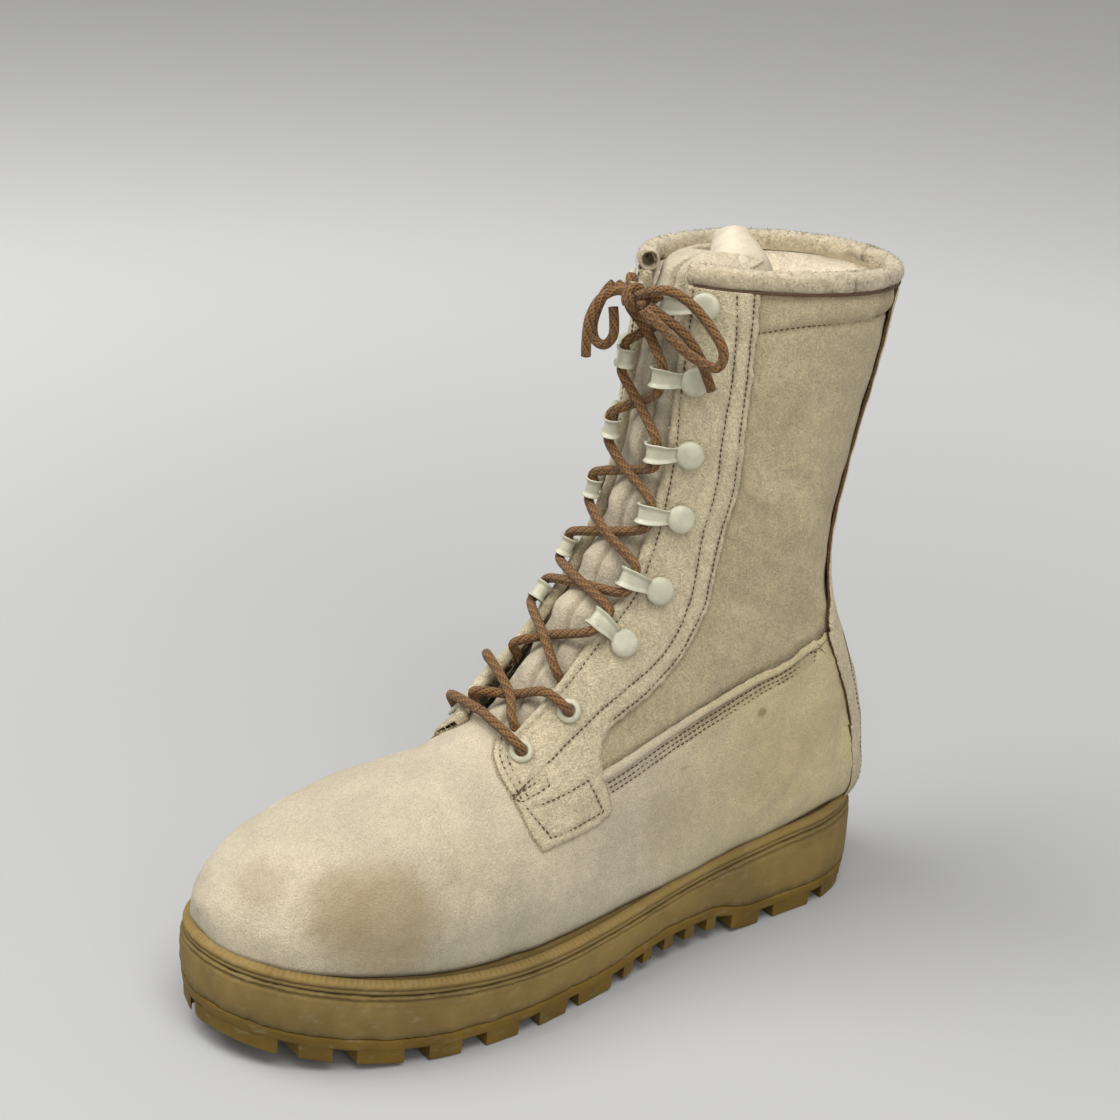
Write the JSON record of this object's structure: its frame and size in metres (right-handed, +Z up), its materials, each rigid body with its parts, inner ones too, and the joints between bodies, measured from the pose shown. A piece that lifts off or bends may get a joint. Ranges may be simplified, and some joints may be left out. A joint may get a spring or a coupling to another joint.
{
  "type": "combat boot",
  "caption": "Left combat boot: tall rough-side-out leather upper, bellows tongue, padded collar, hook and eyelet lacing tied in a bow, and a lugged rubber sole with wedge midsole and welt",
  "frame": {"origin": "on the floor under the middle of the boot's box", "axes": "+X from heel to toe, +Y to the wearer's left (outer side of the left foot), +Z up"},
  "size_m": [0.3081, 0.1134, 0.2873],
  "materials": {
    "suede": "tan rough-side-out suede",
    "suede_edge": "coarser tan suede with raw edges",
    "lining": "padded soft collar roll",
    "rubber": "matte tan lug rubber",
    "midsole_rubber": "matte tan foam rubber",
    "footbed": "dark felted insole",
    "enamel": "pale grey-cream enamel",
    "lace": "round brown braided cord"
  },
  "bodies": {
    "root": {"outsole": "rubber", "midsole": "midsole_rubber", "welt": "midsole_rubber", "upper": "suede", "insole": "footbed", "facing_outer": "suede_edge", "facing_inner": "suede_edge", "backstay": "suede_edge", "tongue": "suede", "collar_roll": "lining", "eyelet_outer_1": "enamel", "eyelet_outer_2": "enamel", "hook_outer_1": "enamel", "hook_outer_2": "enamel", "hook_outer_3": "enamel", "hook_outer_4": "enamel", "hook_outer_5": "enamel", "hook_outer_6": "enamel", "eyelet_inner_1": "enamel", "eyelet_inner_2": "enamel", "hook_inner_1": "enamel", "hook_inner_2": "enamel", "hook_inner_3": "enamel", "hook_inner_4": "enamel", "hook_inner_5": "enamel", "hook_inner_6": "enamel", "lace_bar": "lace", "lace_crossing_1": "lace", "lace_crossing_2": "lace", "lace_crossing_3": "lace", "lace_crossing_4": "lace", "lace_crossing_5": "lace", "lace_crossing_6": "lace", "lace_crossing_7": "lace", "lace_knot": "lace", "lace_loop_outer": "lace", "lace_loop_inner": "lace", "lace_end_outer": "lace", "lace_end_inner": "lace"}
  },
  "joints": []
}
